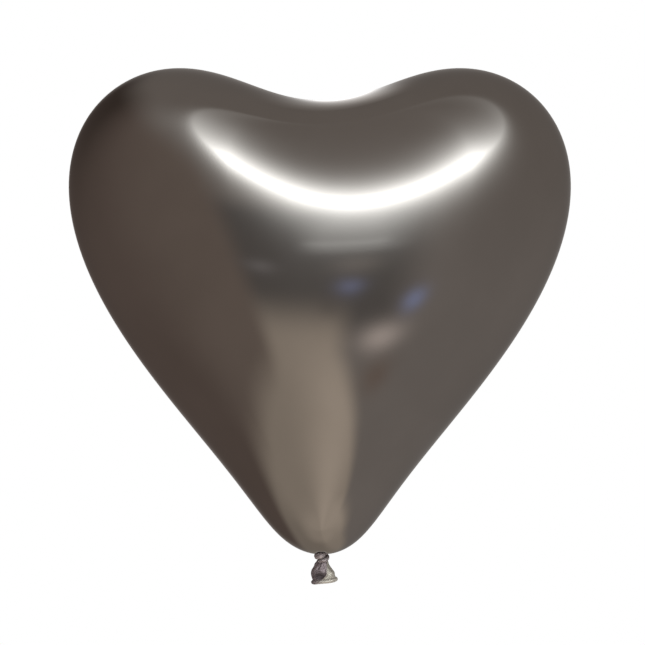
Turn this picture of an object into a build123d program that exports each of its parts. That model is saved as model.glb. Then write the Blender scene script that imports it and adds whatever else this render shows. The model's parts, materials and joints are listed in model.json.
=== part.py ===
from build123d import *
import math
import os

# Heart-shaped latex balloon, tied off with an overhand knot in its own neck.
# Millimetres, +Z up, the front of the heart faces -Y.
# The origin is the tie: the point on the neck where the film ends and the knot begins.

# ---- driving dimensions: the inflated film ----
# Outline of one lobe as (half width, height above the tip), at equal steps of the outline
# angle, from the cleft at the top round the lobe to the tip.
OUTLINE = [(0, 269.5), (53.5, 284.5), (120, 279.5), (147, 195.5), (85.5, 87.5), (34.5, 22.5), (0, 0)]
HALF_DEPTH = 88.0        # half thickness front to back at the height of the widest point
DEPTH_TAPER = 0.22       # how much the thickness grows towards the lobes and shrinks to the tip
MID_HEIGHT = 160.0       # height above the tip where the half thickness is HALF_DEPTH
LEFT_SHIFT = 1.3         # the body of the heart hangs this far left of its tip
SHIFT_HEIGHT = 25.0      # and most of that shift is reached this far above the tip
WALL = 0.4               # film, drawn thicker than the real stretched film so that it meshes
RING_ANGLES = (9, 20, 33, 47, 61, 75)   # front rings of the loft, degrees from the front pole
RING_POINTS = 36         # points on each ring's closed curve

# ---- driving dimensions: the tip, where the film folds in round the knot ----
TIE_DEPTH = 2.2          # the tie sits this far above the lowest point of the film
DIMPLE_RADIUS = 5.3      # mouth of the dimple that the knot is drawn up into
NECK_RADIUS = 2.1        # bundled, pleated neck that runs through the knot
PLEATS = 9
PLEAT_DEPTH = 0.25
NECK_TOP = 1.6
NECK_BOTTOM = -7.6
DIMPLE_CUT = 8.0         # the film is cut away this far up inside the dimple's mouth
# Section of the film from the dimple's mouth up and in to the neck, as (radius, height) points:
# the side next to the gas first, then back along the outer side.
DIMPLE_SECTION = [
    (5.8, -1.75), (5.8, -1.1), (5.3, 0.1), (4.1, 0.9), (2.2, 1.0),
    (2.2, 0.5), (3.8, 0.4), (4.8, -0.2), (4.9, -1.6),
]

# ---- driving dimensions: the overhand knot ----
WRAP_RADIUS = 3.3        # centreline of the strand that loops round the neck
WRAP_STRAND = 1.1        # radius of that strand
WRAP_PITCH = 2.6
WRAP_TURNS = 1.35
WRAP_START = -5.2        # height of the lower end of the loop
TUCK_STRAND = 1.0        # radius of the strand that crosses over the front of the loop
TUCK_PATH = [(-2.9, -2.6, -1.9), (-1.6, -4.4, -3.3), (1.2, -4.6, -5.0)]

# ---- driving dimensions: the free end below the knot ----
PIVOT_Z = -8.6           # centre of the neck's flexible spot
BEAD_RADIUS = 1.5        # the gathered latex that bends there
CUP_CLEARANCE = 0.2
CUP_WALL = 0.5
SKIRT_WALL = 0.5
SKIRT_DROP = 0.8         # the skirt's top edge is this far below the pivot
SKIRT_LEVELS = [
    # drop below the pivot, centre x, half width and half depth of the skirt's outer face
    (SKIRT_DROP, 0.0, 2.25, 2.2),
    (2.2, 0.0, 4.6, 3.4),
    (4.8, 0.6, 6.6, 4.5),
]
LIP_CENTRE = (1.45, 0.0, -18.0)
LIP_TILT = 7.2           # the right end of the lip hangs higher
LIP_HALF_WIDTH = 6.75    # centreline of the rolled bead, along the lip
LIP_HALF_DEPTH = 4.75    # and across it
LIP_BEAD = 1.3           # radius of the rolled bead


def outline_harmonics():
    """Sine terms of the half width and cosine terms of the height that pass through OUTLINE."""
    steps = len(OUTLINE) - 1
    angles = [math.pi * j / steps for j in range(steps + 1)]
    ends = [0.5 if j in (0, steps) else 1.0 for j in range(steps + 1)]
    widths = []
    heights = []
    for k in range(steps + 1):
        wide = sum(p[0] * math.sin(k * t) for p, t in zip(OUTLINE, angles))
        high = sum(e * p[1] * math.cos(k * t) for p, t, e in zip(OUTLINE, angles, ends))
        widths.append(2 / steps * wide)
        heights.append(2 / steps * high * ends[k])
    return widths, heights


WIDTHS, HEIGHTS = outline_harmonics()


def heart_point(ring, angle, inset):
    """Point (x, height above the tip) of the ring with that fraction of the outline's size."""
    wide = sum(a * ring**k * math.sin(k * angle) for k, a in enumerate(WIDTHS))
    high = sum(b * ring**k * math.cos(k * angle) for k, b in enumerate(HEIGHTS))
    half_height = OUTLINE[1][1] / 2
    x = wide * (1 - inset / OUTLINE[3][0])
    z = half_height + (high - half_height) * (1 - inset / half_height)
    return x - LEFT_SHIFT * (1 - math.exp(-z / SHIFT_HEIGHT)), z


def ring_plane(reach):
    """Plane of the ring whose film stands reach in front of (-) or behind (+) the middle."""
    lean = math.atan(reach * DEPTH_TAPER / MID_HEIGHT)
    return Plane(
        origin=(0, reach * (1 - DEPTH_TAPER), -TIE_DEPTH),
        x_dir=(1, 0, 0),
        z_dir=(0, -math.cos(lean), math.sin(lean)),
    ), math.cos(lean)


def film_rings(inset):
    """Planes, curves and poles of a loft over the film, from the front pole to the back."""
    front = [(math.sin(math.radians(a)), math.cos(math.radians(a))) for a in RING_ANGLES]
    rings = front + [(1.0, 0.0)] + [(r, -w) for r, w in reversed(front)]
    sections = []
    for ring, w in rings:
        plane, stretch = ring_plane(-(HALF_DEPTH - inset) * w)
        points = []
        for j in range(RING_POINTS):
            x, z = heart_point(ring, 2 * math.pi * j / RING_POINTS, inset)
            points.append((x, z / stretch))
        sections.append((plane, points))
    across, centre = heart_point(0, 0, inset)
    thick = (HALF_DEPTH - inset) * (1 + DEPTH_TAPER * (centre / MID_HEIGHT - 1))
    poles = [Vertex(across, side * thick, centre - TIE_DEPTH) for side in (-1, 1)]
    return sections, poles


def film_solid(inset):
    """Solid heart whose surface lies inset inside the outer face of the film."""
    sections, poles = film_rings(inset)
    faces = []
    for plane, points in sections:
        with BuildSketch(plane) as ring:
            with BuildLine():
                Spline(*points, periodic=True)
            make_face()
        faces.append(ring.sketch.faces()[0])
    with BuildPart() as solid:
        loft([poles[0]] + faces + [poles[1]])
    return solid.part


# ---- the film: a closed shell with a dimple at the tip that the neck comes out of ----
outer_heart = film_solid(0)
inner_heart = film_solid(WALL)
with BuildPart() as heart_envelope:
    add(outer_heart)
    add(inner_heart, mode=Mode.SUBTRACT)
    with BuildSketch(Plane.XY.offset(-TIE_DEPTH - WALL)):
        Circle(DIMPLE_RADIUS)
    extrude(amount=DIMPLE_CUT, mode=Mode.SUBTRACT)
    # the film turns up at the dimple's mouth and in to the neck
    with BuildSketch(Plane.XZ):
        with BuildLine():
            Polyline(*DIMPLE_SECTION, close=True)
        make_face()
    revolve(axis=Axis.Z)
heart_envelope.part.label = "heart_envelope"

# ---- the neck: film gathered into a pleated bundle, hollowed below for the bead ----
with BuildPart() as neck_bundle:
    with BuildSketch(Plane.XY.offset(NECK_BOTTOM)):
        with BuildLine():
            rim = []
            for j in range(4 * PLEATS):
                turn = 2 * math.pi * j / (4 * PLEATS)
                reach = NECK_RADIUS - PLEAT_DEPTH * (1 - math.cos(PLEATS * turn)) / 2
                rim.append((reach * math.cos(turn), reach * math.sin(turn)))
            Spline(*rim, periodic=True)
        make_face()
    extrude(amount=NECK_TOP - NECK_BOTTOM)
    with Locations((0, 0, PIVOT_Z)):
        Sphere(BEAD_RADIUS + CUP_CLEARANCE, mode=Mode.SUBTRACT)
neck_bundle.part.label = "neck_bundle"

# ---- the knot: the loop round the neck, and the strand that crosses over its front ----
with BuildPart() as knot_wrap:
    with BuildLine():
        loop = Helix(
            pitch=WRAP_PITCH,
            height=WRAP_PITCH * WRAP_TURNS,
            radius=WRAP_RADIUS,
            center=(0, 0, WRAP_START),
        )
    with BuildSketch(Plane(origin=loop @ 0, z_dir=loop % 0)):
        Circle(WRAP_STRAND)
    sweep()
    with Locations(loop @ 0, loop @ 1):
        Sphere(WRAP_STRAND)
knot_wrap.part.label = "knot_wrap"

with BuildPart() as knot_tuck:
    with BuildLine():
        cross = ThreePointArc(*TUCK_PATH)
    with BuildSketch(Plane(origin=cross @ 0, z_dir=cross % 0)):
        Circle(TUCK_STRAND)
    sweep()
    with Locations(cross @ 0, cross @ 1):
        Sphere(TUCK_STRAND)
knot_tuck.part.label = "knot_tuck"

# ---- the flexible spot: a ball of gathered latex that lets the free end nod and sway ----
with BuildPart() as neck_bead:
    with Locations((0, 0, PIVOT_Z)):
        Sphere(BEAD_RADIUS)
neck_bead.part.label = "neck_bead"

# ---- the free end: a flared skirt that cups the bead and ends in the rolled lip ----
lip_plane = Plane(origin=LIP_CENTRE, x_dir=(1, 0, 0), z_dir=(0, 0, 1)).rotated((0, -LIP_TILT, 0))
CUP_INNER = BEAD_RADIUS + CUP_CLEARANCE
CUP_OUTER = CUP_INNER + CUP_WALL
SKIRT_TOP = PIVOT_Z - SKIRT_DROP


def skirt_solid(inset):
    """Flared solid whose sides lie inset inside the outer face of the skirt."""
    faces = []
    for drop, middle, wide, deep in SKIRT_LEVELS:
        with BuildSketch(Plane.XY.offset(PIVOT_Z - drop)) as level:
            with Locations((middle, 0)):
                Ellipse(wide - inset, deep - inset)
        faces.append(level.sketch.faces()[0])
    with BuildSketch(lip_plane) as mouth:
        Ellipse(LIP_HALF_WIDTH - inset, LIP_HALF_DEPTH - inset)
    faces.append(mouth.sketch.faces()[0])
    with BuildPart() as flare:
        loft(faces)
    return flare.part


with BuildPart() as rolled_lip:
    with BuildLine(lip_plane):
        bead_line = EllipticalCenterArc((0, 0), LIP_HALF_WIDTH, LIP_HALF_DEPTH, start_angle=0, arc_size=360)
    with BuildSketch(Plane(origin=bead_line @ 0, z_dir=bead_line % 0)):
        Circle(LIP_BEAD)
    sweep()
rolled_lip.part.label = "rolled_lip"

skirt_outside = skirt_solid(0)
skirt_inside = skirt_solid(SKIRT_WALL)
with BuildPart() as tail_skirt:
    add(skirt_outside)
    add(skirt_inside, mode=Mode.SUBTRACT)
    # the closed top that the bead sits in
    with Locations((0, 0, PIVOT_Z)):
        Sphere(CUP_OUTER)
    with BuildSketch(Plane.XY.offset(SKIRT_TOP)):
        Circle(2 * CUP_OUTER)
    extrude(amount=2 * CUP_OUTER + 1, mode=Mode.SUBTRACT)
    with Locations((0, 0, PIVOT_Z)):
        Sphere(CUP_INNER, mode=Mode.SUBTRACT)
    # the skirt's edge ends on the rolled bead
    add(rolled_lip.part, mode=Mode.SUBTRACT)
tail_skirt.part.label = "tail_skirt"

os.makedirs("parts", exist_ok=True)
for piece in (heart_envelope, neck_bundle, knot_wrap, knot_tuck, neck_bead, tail_skirt, rolled_lip):
    export_step(piece.part, f"parts/{piece.part.label}.step")
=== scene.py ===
import json
import math

import bpy
import numpy as np
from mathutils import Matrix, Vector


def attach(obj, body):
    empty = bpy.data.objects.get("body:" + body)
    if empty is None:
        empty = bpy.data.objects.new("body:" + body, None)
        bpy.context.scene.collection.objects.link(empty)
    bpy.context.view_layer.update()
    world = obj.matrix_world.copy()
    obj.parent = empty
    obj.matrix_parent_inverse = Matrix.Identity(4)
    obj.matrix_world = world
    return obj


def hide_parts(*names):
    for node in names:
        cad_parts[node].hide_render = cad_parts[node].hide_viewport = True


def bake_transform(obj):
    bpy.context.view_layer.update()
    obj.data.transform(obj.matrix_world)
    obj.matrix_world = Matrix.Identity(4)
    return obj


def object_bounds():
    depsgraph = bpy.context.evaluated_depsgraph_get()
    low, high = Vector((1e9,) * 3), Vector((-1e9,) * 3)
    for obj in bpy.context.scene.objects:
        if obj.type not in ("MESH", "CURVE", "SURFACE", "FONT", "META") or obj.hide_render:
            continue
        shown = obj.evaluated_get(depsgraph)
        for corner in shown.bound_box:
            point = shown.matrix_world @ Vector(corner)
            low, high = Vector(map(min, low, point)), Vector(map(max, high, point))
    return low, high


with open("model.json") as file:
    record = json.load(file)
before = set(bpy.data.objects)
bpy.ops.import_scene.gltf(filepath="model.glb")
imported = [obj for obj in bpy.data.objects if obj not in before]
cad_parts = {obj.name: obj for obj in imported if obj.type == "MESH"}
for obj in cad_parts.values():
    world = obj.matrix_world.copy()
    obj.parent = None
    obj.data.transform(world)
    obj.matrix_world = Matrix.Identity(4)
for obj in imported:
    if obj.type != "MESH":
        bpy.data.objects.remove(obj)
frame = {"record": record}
cad_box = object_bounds()

MM = 0.001

# ---- the film: the same outline, shift and depth law as the CAD shell ----
# Outline of one lobe as (half width, height above the tip) in millimetres, at equal steps of the
# outline angle, from the cleft round the lobe to the tip.
OUTLINE = [
    (0, 269.5), (53.5, 284.5), (120, 279.5), (147, 195.5), (85.5, 87.5), (34.5, 22.5), (0, 0),
]
HALF_DEPTH = 88.0
DEPTH_TAPER = 0.22
MID_HEIGHT = 160.0
LEFT_SHIFT = 1.3
SHIFT_HEIGHT = 25.0
TIE_DEPTH = 2.2          # the tie, at the origin, sits this far above the film's lowest point
FILM_RINGS = 240
FILM_SEGMENTS = 224
FILM_SPACING = 1.6       # power that crowds the rings towards the tip
HOLE_ANGLE = math.radians(1.75)       # the rings start round the neck
TOP_ANGLE = math.pi * 0.9985          # and end just short of the cleft
DIMPLE_LIFT = 2.9        # the film is drawn up this far at the neck
DIMPLE_RADIUS = 4.7
PUCKER_LIFT = 1.7        # and a shorter pucker runs towards the front, over the knot's fat turn
PUCKER_X = -0.5
PUCKER_HALF_WIDTH = 3.0
PUCKER_FRONT = 11.0
PUCKER_BACK = 5.0
GATHER_PLEATS = 13       # fine pleats round the dimple
GATHER_DEPTH = 0.08
GATHER_RADIUS = 2.8
GATHER_WIDTH = 1.2

# ---- the neck ----
NECK_TOP = 1.3
NECK_BOTTOM = -6.6
NECK_ROWS = 40
NECK_AROUND = 108
NECK_RADIUS = 2.0
NECK_PLEATS = 9
NECK_PLEAT_DEPTH = 0.12

# ---- the lip ----
LIP_CENTRE = (1.45, 0.0, -18.0)
LIP_TILT = math.radians(7.2)
LIP_HALF_WIDTH = 6.75
LIP_HALF_DEPTH = 4.75
LIP_BEAD = 1.3
LIP_AROUND = 240
BEAD_AROUND = 48

# ---- the studio, in metres ----
FLOOR_Z = -0.30
FLOOR_RADIUS = 6.0
FLOOR_MIDDLE = -5.0      # so that its far edge lies below the front view
FLOOR_RIM = (1.6, 0.1)   # its glow grows between these distances from its edge
RIM_FOOT = (0.012, 0.266)             # x and z of the film's cleft
RIM_CARD_LOW = (-0.05, 0.10, 0.29)    # the card's corners
RIM_CARD_HIGH = (0.084, 0.10, 0.50)
RIM_CARD_FADE = 0.018                 # half width of its glow, left to right
RIM_CARD_STRENGTH = 2.9
LIGHT_PLACE = (0.3, -0.9, 1.5)
LIGHT_SIZE = (1.6, 1.0)
LIGHT_POWER = 60         # watts

# ---- the camera, in metres: from the middle of the CAD box, and in front of the tie ----
CAMERA_RIGHT = 0.0016
CAMERA_UP = 0.0025
CAMERA_DISTANCE = 1.072

# ---- where the neck bends ----
joint_places = {j["name"]: j["pos_m"] for j in frame["record"]["behaviour"]["joints"]}
PIVOT_Z = joint_places["tail_nod"][2]

# ---- colours and finish ----
FILM_DARK, FILM_LIGHT = (0.262, 0.240, 0.222), (0.288, 0.264, 0.245)
KNOT_DARK, KNOT_LIGHT = (0.235, 0.196, 0.196), (0.375, 0.328, 0.323)
SKIRT_DARK, SKIRT_LIGHT = (0.155, 0.122, 0.128), (0.205, 0.168, 0.172)
# painted reflection: the skirt's facet, pale where it would mirror the bright floor and softbox
SKIRT_PAINTED_REFLECTION = (0.355, 0.328, 0.281)
LIP_DARK, LIP_LIGHT = (0.165, 0.135, 0.137), (0.215, 0.18, 0.182)
# painted reflection: the lip's facet, pale as on the skirt
LIP_PAINTED_REFLECTION = (0.38, 0.35, 0.305)
SKIRT_FADE, LIP_FADE = 0.5, 3.5      # half width of the edge of the painted reflection, in millimetres
HOLLOW_SHADE_SHARE = 0.35       # painted shade in the hollow and the crease, as a share of the dark colour
FOLD_SHADE_SHARE = 0.55        # painted shade deep in the folds, as a share of the dark colour
FILM_ROUGHNESS = (0.078, 0.098)
SATIN_ROUGHNESS = 0.26   # more than the film's own, at the neck
SATIN_REACH = (0.003, 0.014)         # metres from the tie
LATEX_ROUGHNESS = (0.43, 0.53)


# ======================================================================== mesh helpers
def bump_at(value, centre, width):
    """Smooth bump of height one round centre."""
    return np.exp(-(((value - centre) / width) ** 2))


def make_piece(name, vertices, faces):
    """Smooth-shaded mesh object from vertices in millimetres."""
    mesh = bpy.data.meshes.new(name)
    mesh.from_pydata([tuple(float(c) * MM for c in v) for v in vertices], [], faces)
    mesh.validate()
    mesh.polygons.foreach_set("use_smooth", [True] * len(mesh.polygons))
    mesh.update()
    piece = bpy.data.objects.new(name, mesh)
    bpy.context.scene.collection.objects.link(piece)
    return piece


def skin(name, rings):
    """Closed surface over a stack of closed rings, an array (rings, points, 3), ends capped.

    The caps' rims are sharp, so that a cap doesn't shade the side beside it.
    """
    count, around, _ = rings.shape
    vertices = list(rings.reshape(-1, 3))
    faces = []
    for i in range(count - 1):
        for j in range(around):
            k = (j + 1) % around
            faces.append((i * around + j, i * around + k,
                          (i + 1) * around + k, (i + 1) * around + j))
    for ring, flip in ((0, True), (count - 1, False)):
        centre = len(vertices)
        vertices.append(rings[ring].mean(axis=0))
        for j in range(around):
            k = (j + 1) % around
            a, b = ring * around + j, ring * around + k
            faces.append((centre, b, a) if flip else (centre, a, b))
    piece = make_piece(name, vertices, faces)
    last = (count - 1) * around
    for edge in piece.data.edges:
        a, b = edge.vertices
        on_first = a < around and b < around
        on_last = last <= a < last + around and last <= b < last + around
        if on_first or on_last:
            edge.use_edge_sharp = True
    return piece


def smooth_path(points, samples):
    """Smooth curve through a few points, any number of columns, sampled evenly in parameter."""
    points = np.array(points, float)
    count = len(points)
    padded = np.vstack([2 * points[0] - points[1], points, 2 * points[-1] - points[-2]])
    out = []
    for s in np.linspace(0, count - 1, samples):
        i = min(int(s), count - 2)
        t = s - i
        p0, p1, p2, p3 = padded[i : i + 4]
        out.append(0.5 * (2 * p1 + (p2 - p0) * t + (2 * p0 - 5 * p1 + 4 * p2 - p3) * t * t
                          + (3 * p1 - p0 - 3 * p2 + p3) * t**3))
    return np.array(out)


def strand(name, stations, samples=150, around=72, twist=2.0, wrinkle=0.05):
    """Gathered strand of latex: a tube through stations (x, y, z, radius), wrinkled lengthwise."""
    path = smooth_path(stations, samples)
    centre, radius = path[:, :3], path[:, 3]
    tangent = np.gradient(centre, axis=0)
    tangent /= np.linalg.norm(tangent, axis=1, keepdims=True)
    side = np.cross(tangent[0], (0.0, 0.0, 1.0))
    side /= np.linalg.norm(side)
    angles = np.linspace(0, 2 * math.pi, around, endpoint=False)
    rounded_rows = 9         # rows over which each end rounds off
    rings = []
    for i in range(samples):
        side = side - tangent[i] * np.dot(side, tangent[i])
        side /= np.linalg.norm(side)
        up = np.cross(tangent[i], side)
        turn = angles + twist * i / samples
        # three sets of lengthwise folds, coarse to fine
        fold = (np.cos(5 * turn) + 0.7 * np.cos(9 * turn + 1.3 + 3.0 * i / samples)
                + 0.4 * np.cos(17 * turn + 0.4))
        end = min(i, samples - 1 - i) / rounded_rows
        close = math.sqrt(max(1 - (1 - min(end, 1)) ** 2, 0.02))
        reach = radius[i] * close * (1 + wrinkle * fold)
        rings.append(centre[i] + np.outer(reach * np.cos(angles), side)
                     + np.outer(reach * np.sin(angles), up))
    return skin(name, np.array(rings))


# ======================================================================== the film
def outline_harmonics():
    """Sine terms of the half width and cosine terms of the height that pass through OUTLINE."""
    steps = len(OUTLINE) - 1
    points = np.array(OUTLINE, float)
    angles = np.pi * np.arange(steps + 1) / steps
    ends = np.where(np.isin(np.arange(steps + 1), (0, steps)), 0.5, 1.0)
    widths = [2 / steps * np.sum(points[:, 0] * np.sin(k * angles)) for k in range(steps + 1)]
    heights = [2 / steps * np.sum(ends * points[:, 1] * np.cos(k * angles)) * ends[k]
               for k in range(steps + 1)]
    return widths, heights


def make_film():
    """The inflated heart, drawn up into a dimple round the neck."""
    widths, heights = outline_harmonics()
    rings = []
    for s in np.linspace(0, 1, FILM_RINGS):
        beta = HOLE_ANGLE + (TOP_ANGLE - HOLE_ANGLE) * s**FILM_SPACING
        alpha = np.linspace(0, 2 * math.pi, FILM_SEGMENTS, endpoint=False)
        u = math.sin(beta) * np.sin(alpha)
        w = math.sin(beta) * np.cos(alpha)
        v = np.full_like(u, -math.cos(beta))
        rho = np.hypot(u, v)
        t = np.arctan2(u, v)
        x = sum(a * rho**k * np.sin(k * t) for k, a in enumerate(widths))
        z = sum(b * rho**k * np.cos(k * t) for k, b in enumerate(heights))
        x = x - LEFT_SHIFT * (1 - np.exp(-z / SHIFT_HEIGHT))
        y = -HALF_DEPTH * w * (1 + DEPTH_TAPER * (z / MID_HEIGHT - 1))
        if beta < math.pi / 2:
            out = np.hypot(x, y)
            around = np.arctan2(y, x)
            drawn_up = np.exp(-((out / DIMPLE_RADIUS) ** 6))
            pucker_depth = np.where(y < 0, PUCKER_FRONT, PUCKER_BACK)
            pucker = ((x - PUCKER_X) / PUCKER_HALF_WIDTH) ** 4 + (y / pucker_depth) ** 4
            # the pucker lifts less where the dimple already does
            z = z + DIMPLE_LIFT * drawn_up + PUCKER_LIFT * np.exp(-pucker) * (1 - 0.6 * drawn_up)
            pleats = GATHER_DEPTH * np.cos(GATHER_PLEATS * around)
            z = z + pleats * bump_at(out, GATHER_RADIUS, GATHER_WIDTH)
        rings.append(np.stack([x, y, z - TIE_DEPTH], axis=1))
    return skin("film", np.array(rings)[:, ::-1])


# ======================================================================== neck and knot
def make_neck():
    """The neck gathered into pleats, from the dimple down through the knot."""
    angles = np.linspace(0, 2 * math.pi, NECK_AROUND, endpoint=False)
    rings = []
    for z in np.linspace(NECK_TOP, NECK_BOTTOM, NECK_ROWS):
        reach = NECK_RADIUS + NECK_PLEAT_DEPTH * np.cos(NECK_PLEATS * angles + 0.25 * z)
        x, y = reach * np.cos(angles), reach * np.sin(angles)
        rings.append(np.stack([x, y, np.full_like(angles, z)], axis=1))
    return skin("neck", np.array(rings)[::-1])


def make_knot():
    """The overhand knot: a fat upper turn, and a thinner turn below it that flares to the right."""
    upper = strand("knot_upper_turn", [
        # x, y, z, radius
        (2.9, -0.4, -1.1, 0.9), (2.1, -2.3, -1.2, 1.2), (0.6, -3.2, -1.7, 1.7),
        (-1.0, -3.1, -2.4, 2.2), (-2.3, -1.6, -2.9, 2.3), (-2.55, 0.8, -3.6, 1.95),
        (-1.3, 2.4, -4.6, 1.5), (0.8, 2.6, -5.3, 1.25), (2.2, 1.3, -5.7, 0.9),
    ], twist=1.2, wrinkle=0.02)
    lower = strand("knot_lower_turn", [
        (-2.5, -2.2, -6.3, 0.55), (-1.2, -3.3, -6.0, 0.75), (0.4, -3.7, -5.6, 1.05),
        (1.9, -3.3, -5.2, 1.35), (2.8, -2.2, -4.7, 1.3), (3.3, -0.4, -3.9, 1.1),
        (2.9, 1.7, -3.3, 1.1), (1.2, 3.0, -2.8, 1.2), (-0.9, 3.0, -2.5, 1.1),
        (-2.6, 1.7, -2.5, 0.8),
    ], twist=-1.0, wrinkle=0.03)
    return upper, lower


# ======================================================================== the free end
SKIRT_STATIONS = [
    # height, centre x, half width, half depth
    (-5.7, 0.1, 2.9, 2.6),
    (-6.9, 0.0, 3.7, 3.2),
    (-7.8, -0.25, 4.2, 3.5),
    (-9.4, -0.1, 4.9, 3.8),
    (-11.3, 0.0, 6.2, 4.3),
    (-13.0, 0.35, 7.0, 4.7),
    (-15.0, 0.7, 7.05, 5.0),
    (-16.8, 1.2, 6.8, 4.9),
    (-18.0, 1.45, 6.6, 4.6),
]
SKIRT_WALL = 0.45
SKIRT_ROWS = 200
SKIRT_AROUND = 240
SPLIT_ROW = 76           # the sleeve ends and the skirt starts at this row
SOLID_ROWS = 10          # rows below the split where the skirt isn't hollow yet
COARSE_PLEATS, COARSE_DEPTH = 7, 0.16
FINE_PLEATS, FINE_DEPTH = 16, 0.06
LOW_FADE = 1.4           # the relief fades over this height above the lip
FAR_RELIEF = 0.8         # the far side has a part of the near side's relief

# Folds seen from the front, as (start x, start z), (end x, end z), half width, push towards the
# front. A fold widens from start to end and fades at both ends.
FOLDS = [
    ((0.1, -6.2), (-2.6, -11.0), 0.50, -0.80),     # the deep valley under the knot
    ((-1.1, -6.2), (-4.3, -11.4), 0.60, 0.40),     # the ridge to its left
    ((-2.7, -6.4), (-4.9, -10.6), 0.50, -0.45),
    ((1.5, -6.0), (2.3, -10.6), 0.80, 0.35),
    ((3.0, -6.0), (4.0, -10.0), 0.50, -0.35),
    ((-3.4, -11.9), (-0.2, -12.3), 0.40, -0.15),   # a short crease above the hollow
]
HOLLOWS = [
    # x, z, half width, half height, push
    (-1.4, -14.9, 3.2, 2.1, -1.2),
    (7.0, -13.2, 2.6, 3.6, 1.9),                   # the far end of the flat facet stands proud
]
# The right of the skirt is a flat facet with a pale painted reflection. Its edge, a ridge, runs
# straight down from the knot and curves left under the hollow.
FACET_X = 2.9
FACET_TURN = -13.0
FACET_CURVE = 2.2
RIDGE_HALF_WIDTH = 0.8
RIDGE_PUSH = 0.7
RIDGE_HEIGHT = -12.5     # where the ridge is strongest
RIDGE_HALF_HEIGHT = 4.5
CREASE_SHADE_PLACE = (-1.9, 1.8, -12.3, 0.45)     # x, half width, z, half height of the crease's painted shade
CREASE_SHADE_SLOPE = 0.12


def along_fold(x, z, start, end, width):
    """Smooth ridge of height one along a line from start to end."""
    run = np.subtract(end, start)
    length = math.hypot(*run)
    part = ((x - start[0]) * run[0] + (z - start[1]) * run[1]) / length**2
    away = ((x - start[0]) * run[1] - (z - start[1]) * run[0]) / length
    widening = width * (0.7 + 0.6 * np.clip(part, 0, 1))
    return np.exp(-((away / widening) ** 2) - ((part - 0.45) / 0.5) ** 4)


def relief(x, z):
    """How far the skirt's near side is pushed out (+) or in (-) at a place seen from there."""
    push = sum(amount * along_fold(x, z, start, end, width) for start, end, width, amount in FOLDS)
    for middle, height, wide, tall, amount in HOLLOWS:
        push = push + amount * bump_at(x, middle, wide) * bump_at(z, height, tall)
    edge = FACET_X - (np.maximum(FACET_TURN - z, 0) / FACET_CURVE) ** 2
    ridge = RIDGE_PUSH * bump_at(x, edge, RIDGE_HALF_WIDTH)
    return push + ridge * bump_at(z, RIDGE_HEIGHT, RIDGE_HALF_HEIGHT)


def skirt_surface():
    """Outer rings of the gathered neck and skirt, from inside the knot down to the lip."""
    stations = smooth_path(SKIRT_STATIONS, SKIRT_ROWS)
    top, bottom = stations[0, 0], stations[-1, 0]
    angles = np.linspace(0, 2 * math.pi, SKIRT_AROUND, endpoint=False)
    rings = []
    for z, middle, wide, deep in stations:
        down = (top - z) / (top - bottom)
        # pleats fan out from the knot and fade towards the lip
        fan = (1 - down) ** 2
        pleats = COARSE_DEPTH * fan * np.cos(COARSE_PLEATS * angles + 0.6 * np.sin(3 * angles))
        pleats += FINE_DEPTH * fan * np.cos(FINE_PLEATS * angles + 2.0 * down)
        x = middle + (wide + pleats) * np.cos(angles)
        y = (deep + pleats) * np.sin(angles)
        near = np.clip(-np.sin(angles), 0, 1) ** 0.6
        far = np.clip(np.sin(angles), 0, 1) ** 0.6
        low_fade = np.clip((z - bottom) / LOW_FADE, 0.3, 1)
        far_push = FAR_RELIEF * low_fade * far * relief(2 * middle - x, z)
        y = y - low_fade * near * relief(x, z) + far_push
        # the mouth hangs at the lip's tilt
        tilt = math.tan(LIP_TILT) * down**2
        rings.append(np.stack([x, y, z + tilt * (x - LIP_CENTRE[0])], axis=1))
    return np.array(rings)


def make_tail():
    """The sleeve of gathered latex under the knot, and the hollow skirt below it."""
    outer = skirt_surface()
    sleeve = skin("neck_sleeve", outer[: SPLIT_ROW + 1][::-1])
    below = outer[SPLIT_ROW:]
    axis = below.mean(axis=1, keepdims=True)
    span = np.linalg.norm(below - axis, axis=2, keepdims=True)
    inner = below - (below - axis) / span * SKIRT_WALL
    shell = np.concatenate([below, inner[SOLID_ROWS:][::-1]])
    skirt = skin("tail_skirt_skin", shell[::-1])
    return sleeve, skirt


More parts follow.
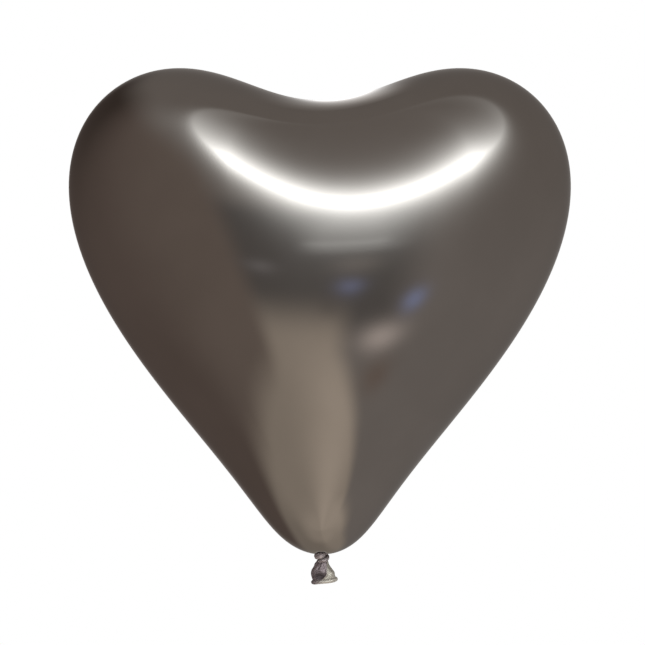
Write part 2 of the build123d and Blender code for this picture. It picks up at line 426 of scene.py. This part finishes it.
def make_lip():
    """The bead rolled on the mouth: an oval ring, a little uneven, with the roll's edge showing."""
    along = np.linspace(0, 2 * math.pi, LIP_AROUND, endpoint=False)
    round_bead = np.linspace(0, 2 * math.pi, BEAD_AROUND, endpoint=False)
    vertices = []
    for a in along:
        thick = LIP_BEAD * (1 + 0.05 * math.sin(a + 0.4) + 0.02 * math.sin(4 * a))
        mid = np.array([LIP_HALF_WIDTH * math.cos(a), LIP_HALF_DEPTH * math.sin(a),
                        0.10 * math.sin(3 * a + 1.0)])
        out = np.array([LIP_HALF_DEPTH * math.cos(a), LIP_HALF_WIDTH * math.sin(a), 0])
        out /= np.linalg.norm(out)
        for b in round_bead:
            # a shallow groove where the last turn of the roll ends
            groove = (0.13 * math.exp(-((b - 0.9) / 0.16) ** 2)
                      + 0.07 * math.exp(-((b - 5.3) / 0.2) ** 2))
            reach = thick * (1 - groove + 0.005 * math.cos(26 * a + 3 * b))
            p = mid + out * reach * math.cos(b) + np.array([0, 0, reach * math.sin(b)])
            x = p[0] * math.cos(LIP_TILT) - p[2] * math.sin(LIP_TILT)
            z = p[0] * math.sin(LIP_TILT) + p[2] * math.cos(LIP_TILT)
            vertices.append((x + LIP_CENTRE[0], p[1], z + LIP_CENTRE[2]))
    faces = []
    rows, cols = len(along), len(round_bead)
    for i in range(rows):
        for j in range(cols):
            a, b = i * cols + j, i * cols + (j + 1) % cols
            c, d = ((i + 1) % rows) * cols + (j + 1) % cols, ((i + 1) % rows) * cols + j
            faces.append((a, d, c, b))
    return make_piece("lip_bead", vertices, faces)


# ======================================================================== node helpers
MIX_FACTOR, MIX_BELOW, MIX_ABOVE = 0, 6, 7      # sockets of a Mix node set to colours
MIX_RESULT = 2


class Term:
    """A number in a node tree: arithmetic on it adds Math nodes."""

    def __init__(self, tree, socket):
        self.tree = tree
        self.socket = socket

    def make(self, operation, *values):
        node = self.tree.nodes.new("ShaderNodeMath")
        node.operation = operation
        for socket, value in zip(node.inputs, values):
            if isinstance(value, Term):
                self.tree.links.new(value.socket, socket)
            else:
                socket.default_value = value
        return Term(self.tree, node.outputs[0])

    def __add__(self, other):
        return self.make("ADD", self, other)

    def __sub__(self, other):
        return self.make("SUBTRACT", self, other)

    def __rsub__(self, other):
        return self.make("SUBTRACT", other, self)

    def __mul__(self, other):
        return self.make("MULTIPLY", self, other)

    def __truediv__(self, other):
        return self.make("DIVIDE", self, other)

    __radd__ = __add__

    def at_least(self, other):
        return self.make("MAXIMUM", self, other)

    def at_most(self, other):
        return self.make("MINIMUM", self, other)

    def size(self):
        return self.make("ABSOLUTE", self)

    def root(self):
        return self.make("SQRT", self)

    def fading(self):
        """One at zero, falling off exponentially above it."""
        return self.make("EXPONENT", self * -1.0)

    def remap(self, low, high, to_low, to_high):
        """Goes smoothly from to_low at low to to_high at high; low may be the larger."""
        node = self.tree.nodes.new("ShaderNodeMapRange")
        node.interpolation_type = "SMOOTHSTEP"
        limits = {"From Min": low, "From Max": high, "To Min": to_low, "To Max": to_high}
        for socket, number in limits.items():
            node.inputs[socket].default_value = number
        self.tree.links.new(self.socket, node.inputs["Value"])
        return Term(self.tree, node.outputs["Result"])

    def ease(self, start, end):
        """Zero at start, one at end, smooth between; start may be the larger."""
        return self.remap(start, end, 0, 1)

    def window(self, rise_from, rise_to, fall_from, fall_to):
        """One between rise_to and fall_from, easing to zero at the outer two."""
        return self.ease(rise_from, rise_to) * self.ease(fall_to, fall_from)

    def bump(self, centre, width):
        """Smooth bump of height one round centre."""
        away = (self - centre) / width
        return (away * away).fading()


def layer(below, factor, colour):
    """Colour laid over what is below by a factor; below is a colour or another layer."""
    tree = factor.tree
    node = tree.nodes.new("ShaderNodeMix")
    node.data_type = "RGBA"
    tree.links.new(factor.socket, node.inputs[MIX_FACTOR])
    for socket, value in ((node.inputs[MIX_BELOW], below), (node.inputs[MIX_ABOVE], colour)):
        if isinstance(value, tuple):
            socket.default_value = (*value, 1)
        else:
            tree.links.new(value, socket)
    return node.outputs[MIX_RESULT]


def parts(tree, vector):
    """The x, y and z of a vector."""
    split = tree.nodes.new("ShaderNodeSeparateXYZ")
    tree.links.new(vector, split.inputs[0])
    return [Term(tree, socket) for socket in split.outputs]


def object_coordinates(tree, scale=(1, 1, 1)):
    place = tree.nodes.new("ShaderNodeTexCoord")
    node = tree.nodes.new("ShaderNodeMapping")
    node.inputs["Scale"].default_value = scale
    tree.links.new(place.outputs["Object"], node.inputs["Vector"])
    return node.outputs["Vector"]


def noise(tree, vector, scale, detail):
    node = tree.nodes.new("ShaderNodeTexNoise")
    node.inputs["Scale"].default_value = scale
    node.inputs["Detail"].default_value = detail
    tree.links.new(vector, node.inputs["Vector"])
    return Term(tree, node.outputs["Fac"])


def add_bump(tree, shader, height, strength, distance):
    node = tree.nodes.new("ShaderNodeBump")
    node.inputs["Strength"].default_value = strength
    node.inputs["Distance"].default_value = distance
    tree.links.new(height.socket, node.inputs["Height"])
    tree.links.new(node.outputs["Normal"], shader.inputs["Normal"])


def new_material(name):
    material = bpy.data.materials.new(name)
    material.use_nodes = True
    tree = material.node_tree
    return material, tree, tree.nodes["Principled BSDF"]


# ======================================================================== materials
# The finish stays as dark at its edges as it is face on, where bare metal would turn white.
EDGE_TINT = (0.68, 0.68, 0.68, 1)
GRAIN_DEPTH = 0.0002     # metres
CLOUD_SCALE, MOTTLE_SCALE, GRAIN_SCALE = 14, 350, 900


def film_material():
    """Stretched latex with a mirror-like dark metal finish: faint clouds and very fine grain."""
    material, tree, shader = new_material("chrome_film")
    where = object_coordinates(tree)
    cloud = noise(tree, where, CLOUD_SCALE, 4)
    grain = noise(tree, where, GRAIN_SCALE, 2)
    tone = layer(FILM_DARK, cloud.ease(0.3, 0.7), FILM_LIGHT)
    tree.links.new(tone, shader.inputs["Base Color"])
    # towards the neck the latex is less stretched, and satin
    far = tree.nodes.new("ShaderNodeVectorMath")
    far.operation = "LENGTH"
    tree.links.new(where, far.inputs[0])
    satin = Term(tree, far.outputs["Value"]).remap(*SATIN_REACH, SATIN_ROUGHNESS, 0.0)
    sheen = cloud.remap(0.3, 0.7, *FILM_ROUGHNESS) + satin
    tree.links.new(sheen.socket, shader.inputs["Roughness"])
    shader.inputs["Metallic"].default_value = 1.0
    shader.inputs["Specular Tint"].default_value = EDGE_TINT
    add_bump(tree, shader, grain, 0.02, GRAIN_DEPTH)
    return material


def paint_skirt_shade_and_reflection(tone, tree, where, dark, pale, fade):
    """Skirt's near side: a painted reflection on and below the facet, painted shade in hollow and
    crease.
    """
    x, y, z = (part / MM for part in parts(tree, where))
    near_side = y.ease(0, -2)
    # painted reflection: the facet turns pale where it would mirror the bright floor and softbox
    curve = (FACET_TURN - z).at_least(0) / FACET_CURVE
    past_edge = x + (curve * curve).at_most(4.5) - FACET_X
    facet_reflection = past_edge.ease(-fade, fade) * y.ease(3, -1)
    # painted shade: the hollow and the crease on the near side are darkened
    middle, height, wide, tall, _ = HOLLOWS[0]
    hollow_shade = (x.bump(middle, wide) * z.bump(height, tall) * 1.6).at_most(1.0) * near_side
    middle, wide, height, tall = CREASE_SHADE_PLACE
    crease_shade = x.bump(middle, wide) * (z + x * CREASE_SHADE_SLOPE).bump(height, tall) * near_side
    hollow_shade_colour = tuple(HOLLOW_SHADE_SHARE * c for c in dark)
    tone = layer(tone, hollow_shade.at_least(crease_shade * 0.7), hollow_shade_colour)
    return layer(tone, facet_reflection, pale)


def gathered_material(name, dark, light, stretch, pale=None, fade=SKIRT_FADE):
    """Unstretched latex: thicker, satin, finely wrinkled, with painted shade darkening it in the
    creases.

    With pale, the near side has the skirt's colours: painted shade in the hollow and the crease,
    and a pale painted reflection on the facet; fade is how far its edge fades, in millimetres.
    """
    material, tree, shader = new_material(name)
    wrinkle = noise(tree, object_coordinates(tree, stretch), GRAIN_SCALE, 4)
    where = object_coordinates(tree)
    tone = layer(dark, noise(tree, where, MOTTLE_SCALE, 3).ease(0.35, 0.65), light)
    if pale:
        tone = paint_skirt_shade_and_reflection(tone, tree, where, dark, pale, fade)
    # painted shade: ambient occlusion darkens the colour in creases and folds
    crease = tree.nodes.new("ShaderNodeAmbientOcclusion")
    crease.inputs["Distance"].default_value = 0.002
    unshaded_part = Term(tree, crease.outputs["AO"]).ease(0.15, 0.8)
    fold_shade_colour = tuple(FOLD_SHADE_SHARE * c for c in dark)
    tree.links.new(layer(fold_shade_colour, unshaded_part, tone), shader.inputs["Base Color"])
    roughness = wrinkle.remap(0.3, 0.7, *LATEX_ROUGHNESS)
    tree.links.new(roughness.socket, shader.inputs["Roughness"])
    shader.inputs["Metallic"].default_value = 0.7
    shader.inputs["Specular Tint"].default_value = EDGE_TINT
    add_bump(tree, shader, wrinkle, 0.04, GRAIN_DEPTH)
    return material


# ======================================================================== studio
# Places in the studio are an azimuth, 0 towards the front and growing to the right, and an
# elevation, both in degrees.
STRIP_MIDDLE, STRIP_LOWEST = 14.0, 11.0
STRIP_BOW, STRIP_LEAN = 0.0086, 0.0014
STRIP_HALF_HEIGHT = 5.2
STRIP_LEFT, STRIP_RIGHT = -31.0, 54.0
# brightness of each part of the softbox
STRIP, GLOW, FLARE, HAZE, PLATEAU, PLATEAU_EDGE = 7.2, 0.38, 0.19, 0.1, 0.33, 0.3
SOFTBOX_COLOUR = (0.90, 0.97, 1.0, 1)

WALL_HIGH, WALL_LOW = (0.352, 0.322, 0.302), (0.405, 0.378, 0.362)
GAP = (0.205, 0.194, 0.188)
FLOOR_DIM, FLOOR_LIT = (0.493, 0.44, 0.381), (0.655, 0.585, 0.506)
FLOOR_NEAR = (0.963, 0.86, 0.744)
SCREEN_INNER, SCREEN_OUTER = (0.320, 0.268, 0.238), (0.240, 0.193, 0.173)
SCREEN_TOP = (0.102, 0.080, 0.070)
SOFT_THINGS = [
    # azimuth, half width, elevation, half height, amount, colour
    (32, 11, -28.5, 2.6, 1.0, (1.05, 0.96, 0.92)),
    (13, 6, -16.5, 1.8, 0.8, (0.40, 0.46, 0.76)),
    (43, 5, -21.5, 2.2, 0.9, (0.50, 0.60, 1.0)),
    (36, 9, -36, 3.0, 0.6, (0.34, 0.25, 0.20)),
    (4, 5, -21, 2.2, 0.5, (0.22, 0.20, 0.19)),
    (-24, 6, -12, 1.5, 1.0, (0.36, 0.35, 0.36)),
    (15, 10, -11, 2.6, 0.8, (0.38, 0.35, 0.33)),
]


def softbox_strength(azimuth, elevation):
    """A strip light that bends up at both ends, with its glow and the plateau under it."""
    # the strip's middle line, a bow that rises a little less at the far right
    off = azimuth - STRIP_MIDDLE
    line = STRIP_LOWEST + off * off * STRIP_BOW - off * off.size() * STRIP_LEAN
    line = line - azimuth.ease(46, 78) * 3.0
    slope = off * (2 * STRIP_BOW) - off.size() * (2 * STRIP_LEAN)
    across = (elevation - line) / (slope * slope + 1.0).root()
    # it fades above, below and past its ends
    over = STRIP_HALF_HEIGHT + off.size().ease(16, 44) * 1.5
    under = STRIP_HALF_HEIGHT - azimuth.ease(-8, -36) * 1.3 - azimuth.ease(40, 56) * 0.6
    past_left = ((STRIP_LEFT - azimuth) / 10.5).at_least(0.0)
    past_right = ((azimuth - STRIP_RIGHT) / 12.0).at_least(0.0)
    away = (across / over).at_least(across * -1.0 / under)
    strip = (away + (past_left + past_right)).fading()
    # a glow rises from it, with a flare at its left and some haze at its right
    reach = 17.0 - azimuth.ease(45, 80) * 8.0
    glow = (across / reach).at_least(0.0).fading() * across.ease(-8, 6)
    glow = glow * azimuth.window(-75, -40, 62, 120)
    flare = azimuth.bump(-50, 26) * elevation.bump(53, 13)
    haze = azimuth.bump(40, 11) * elevation.bump(33, 10)
    # a dim plateau with a brighter lower edge lies under it
    plateau = azimuth.window(-13, 3, 20, 40) * elevation.window(-8.5, -6, 0, 8)
    edge = azimuth.window(-10, -2, 22, 30) * elevation.bump(-4.6, 0.8)
    return (strip * STRIP + glow * GLOW + flare * FLARE + haze * HAZE
            + plateau * PLATEAU + edge * PLATEAU_EDGE)


def floor_layer(colour, azimuth, elevation):
    """The pale floor, which shows on the left and, low down, all round."""
    below = -36.0 - elevation
    right_edge = (18.0 + below * 1.38).at_least(11.0)
    on_floor = elevation.ease(-17, -29) * (azimuth - right_edge).ease(9, -8)
    on_floor = on_floor * azimuth.ease(-180, -150)
    behind = ((azimuth.size() - 110.0) / 50.0).at_least(0.0)
    on_floor = on_floor.at_least((elevation - behind * behind * 24.0).ease(-59, -72))
    floor = layer(FLOOR_DIM, azimuth.window(-120, -60, 160, 180), FLOOR_LIT)
    near = azimuth.bump(13, 26) * elevation.ease(-16, -42)
    near = near.at_least(azimuth.bump(50, 60) * elevation.ease(-58, -72) * 0.8)
    near = near.at_least(elevation.ease(-66, -82) * 0.45)
    return layer(colour, on_floor, layer(floor, near, FLOOR_NEAR))


def screen_layer(colour, azimuth, elevation):
    """The dark screen on the left, with a slanting inner edge and a curved head and foot."""
    screen = layer(SCREEN_INNER, azimuth.ease(-46, -98), SCREEN_OUTER)
    screen = layer(screen, azimuth.ease(-75, -125) * elevation.ease(-25, 45), SCREEN_TOP)
    inward = azimuth + 60.0
    outward = ((-120.0 - azimuth) / 50.0).at_least(0.0)
    foot = inward.at_most(0.0) * 0.13 + inward.at_least(0.0) * 0.4 + outward * outward * 24.0 - 47.0
    middle = azimuth + 108.0
    head = 52.0 - middle * middle * 0.006
    inside = azimuth.ease(-180, -150) * (azimuth + elevation * 0.25).ease(-29, -41)
    inside = inside * (elevation - foot).ease(-6, 7) * (elevation - head).ease(10, -10)
    return layer(colour, inside, screen)


def studio_colour(azimuth, elevation):
    """Walls, a dark gap between them, the floor, the left screen, and a few soft things beyond."""
    colour = layer(WALL_HIGH, elevation.ease(30, -45), WALL_LOW)
    in_gap = azimuth.window(-46, -34, 26, 50) * elevation.window(-30, -22, 3, 14)
    colour = layer(colour, in_gap, GAP)
    colour = floor_layer(colour, azimuth, elevation)
    colour = screen_layer(colour, azimuth, elevation)
    for across, half_width, up, half_height, amount, tone in SOFT_THINGS:
        spot = azimuth.bump(across, half_width) * elevation.bump(up, half_height) * amount
        colour = layer(colour, spot, tone)
    return colour


def make_world():
    """What the film reflects; the camera itself sees plain white behind the balloon."""
    world = bpy.data.worlds.new("studio")
    bpy.context.scene.world = world
    world.use_nodes = True
    tree = world.node_tree
    tree.nodes.clear()
    x, y, z = parts(tree, tree.nodes.new("ShaderNodeTexCoord").outputs["Generated"])
    azimuth = x.make("ARCTAN2", x, y * -1.0) * math.degrees(1)
    elevation = z.make("ARCSINE", z) * math.degrees(1)

    studio = tree.nodes.new("ShaderNodeBackground")
    tree.links.new(studio_colour(azimuth, elevation), studio.inputs["Color"])
    softbox = tree.nodes.new("ShaderNodeBackground")
    softbox.inputs["Color"].default_value = SOFTBOX_COLOUR
    tree.links.new(softbox_strength(azimuth, elevation).socket, softbox.inputs["Strength"])
    both = tree.nodes.new("ShaderNodeAddShader")
    tree.links.new(studio.outputs[0], both.inputs[0])
    tree.links.new(softbox.outputs[0], both.inputs[1])
    paper = tree.nodes.new("ShaderNodeBackground")
    paper.inputs["Color"].default_value = (1, 1, 1, 1)
    seen = tree.nodes.new("ShaderNodeLightPath")
    pick = tree.nodes.new("ShaderNodeMixShader")
    tree.links.new(seen.outputs["Is Camera Ray"], pick.inputs[0])
    tree.links.new(both.outputs[0], pick.inputs[1])
    tree.links.new(paper.outputs[0], pick.inputs[2])
    out = tree.nodes.new("ShaderNodeOutputWorld")
    tree.links.new(pick.outputs[0], out.inputs["Surface"])


def make_floor():
    """A pale disc well below the balloon, ending under the front view.

    Its rim glows away into white.
    """
    around = np.linspace(0, 2 * math.pi, 96, endpoint=False)
    vertices = [(FLOOR_RADIUS * math.cos(a), FLOOR_MIDDLE + FLOOR_RADIUS * math.sin(a), FLOOR_Z)
                for a in around]
    floor = make_piece("floor", np.array(vertices) / MM, [tuple(range(len(vertices)))])
    material, tree, shader = new_material("pale_floor")
    speckle = noise(tree, object_coordinates(tree), 30, 3)
    tone = layer((0.86, 0.86, 0.85), speckle.ease(0.3, 0.7), (0.90, 0.90, 0.89))
    tree.links.new(tone, shader.inputs["Base Color"])
    shader.inputs["Roughness"].default_value = 0.9
    shader.inputs["Emission Color"].default_value = (1, 1, 0.99, 1)
    outward = tree.nodes.new("ShaderNodeVectorMath")
    outward.operation = "DISTANCE"
    outward.inputs[1].default_value = (0, FLOOR_MIDDLE, FLOOR_Z)
    tree.links.new(object_coordinates(tree), outward.inputs[0])
    rim_glow = Term(tree, outward.outputs["Value"])
    rim_glow = rim_glow.remap(FLOOR_RADIUS - FLOOR_RIM[0], FLOOR_RADIUS - FLOOR_RIM[1], 0.3, 1.0)
    tree.links.new(rim_glow.socket, shader.inputs["Emission Strength"])
    floor.data.materials.append(material)
    floor.visible_glossy = False


def make_rim_card():
    """A small glowing card close behind the cleft, seen only as the film's soft rim."""
    low, high = np.array(RIM_CARD_LOW), np.array(RIM_CARD_HIGH)
    corners = [(low[0], low[1], low[2]), (high[0], low[1], low[2]), (high[0], high[1], high[2]),
               (low[0], high[1], high[2])]
    card = make_piece("rim_card", np.array(corners) / MM, [(0, 1, 2, 3)])
    material, tree, shader = new_material("rim_card")
    tree.nodes.remove(shader)
    x, _, z = parts(tree, object_coordinates(tree))
    # how steeply a place on the card is seen from the cleft, in degrees; the glow is full low down
    # and fades out by 74 degrees
    height = (z - RIM_FOOT[1]) / RIM_CARD_LOW[1]
    rise = height.make("ARCTANGENT", height) * math.degrees(1)
    strength = ((rise - 20.0) / 24.0).at_least(0.0).fading() * rise.ease(74, 46)
    strength = strength * x.bump(RIM_FOOT[0], RIM_CARD_FADE) * RIM_CARD_STRENGTH
    glow = tree.nodes.new("ShaderNodeEmission")
    tree.links.new(strength.socket, glow.inputs["Strength"])
    clear = tree.nodes.new("ShaderNodeBsdfTransparent")
    both = tree.nodes.new("ShaderNodeAddShader")
    tree.links.new(glow.outputs[0], both.inputs[0])
    tree.links.new(clear.outputs[0], both.inputs[1])
    tree.links.new(both.outputs[0], tree.nodes["Material Output"].inputs["Surface"])
    card.data.materials.append(material)
    card.visible_camera = False
    card.visible_diffuse = False
    card.visible_shadow = False


def make_light():
    """A large soft light above the front; the film's own studio already holds its reflection."""
    light = bpy.data.lights.new("soft_light", "AREA")
    light.shape = "RECTANGLE"
    light.size, light.size_y = LIGHT_SIZE
    light.energy = LIGHT_POWER
    holder = bpy.data.objects.new("soft_light", light)
    bpy.context.scene.collection.objects.link(holder)
    holder.location = LIGHT_PLACE
    holder.rotation_euler = (math.radians(32), 0, math.radians(12))
    holder.visible_glossy = False


def make_camera():
    """Straight on at the heart's mid height, framed a little above and right of its centre."""
    low, high = (np.array(corner) for corner in cad_box)
    middle = (low + high) / 2
    camera = bpy.data.cameras.new("camera")
    camera.lens = 100
    camera.sensor_width = 36
    holder = bpy.data.objects.new("camera", camera)
    bpy.context.scene.collection.objects.link(holder)
    holder.location = (middle[0] + CAMERA_RIGHT, -CAMERA_DISTANCE, middle[2] + CAMERA_UP)
    holder.rotation_euler = (math.pi / 2, 0, 0)
    bpy.context.scene.camera = holder


# ======================================================================== put together
def dress(piece, material, slot, *nodes):
    piece.data.materials.append(material)
    if nodes:
        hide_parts(*nodes)


def main():
    chrome = film_material()
    lengthwise, round_the_roll = (1, 1, 0.25), (0.3, 0.3, 1)
    knotted = gathered_material("knotted_latex", KNOT_DARK, KNOT_LIGHT, lengthwise)
    gathered = gathered_material("gathered_latex", SKIRT_DARK, SKIRT_LIGHT, lengthwise,
                                 pale=SKIRT_PAINTED_REFLECTION)
    rolled = gathered_material("rolled_latex", LIP_DARK, LIP_LIGHT, round_the_roll,
                               pale=LIP_PAINTED_REFLECTION, fade=LIP_FADE)

    film = make_film()
    dress(film, chrome, "film", "heart_envelope")
    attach(film, "balloon")

    neck = make_neck()
    dress(neck, knotted, "gathered_latex", "neck_bundle")
    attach(neck, "balloon")

    upper, lower = make_knot()
    dress(upper, knotted, "gathered_latex", "knot_tuck")
    dress(lower, knotted, "gathered_latex", "knot_wrap")
    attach(upper, "balloon")
    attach(lower, "balloon")

    sleeve, skirt = make_tail()
    dress(sleeve, gathered, "gathered_latex", "neck_bead")
    dress(skirt, gathered, "gathered_latex", "tail_skirt")
    lip = make_lip()
    dress(lip, rolled, "rolled_latex", "rolled_lip")
    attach(lip, "tail")
    PIVOT_Z + 0.0020
    PIVOT_Z - 0.0007
    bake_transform(sleeve)
    PIVOT_Z - 0.0009
    PIVOT_Z - 0.0070
    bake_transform(skirt)

    # the film's own studio holds all that it mirrors
    for piece in (neck, upper, lower, sleeve, skirt, lip):
        piece.visible_glossy = False

    make_world()
    make_floor()
    make_rim_card()
    make_light()
    make_camera()
    bpy.context.scene.view_settings.view_transform = "Standard"


main()
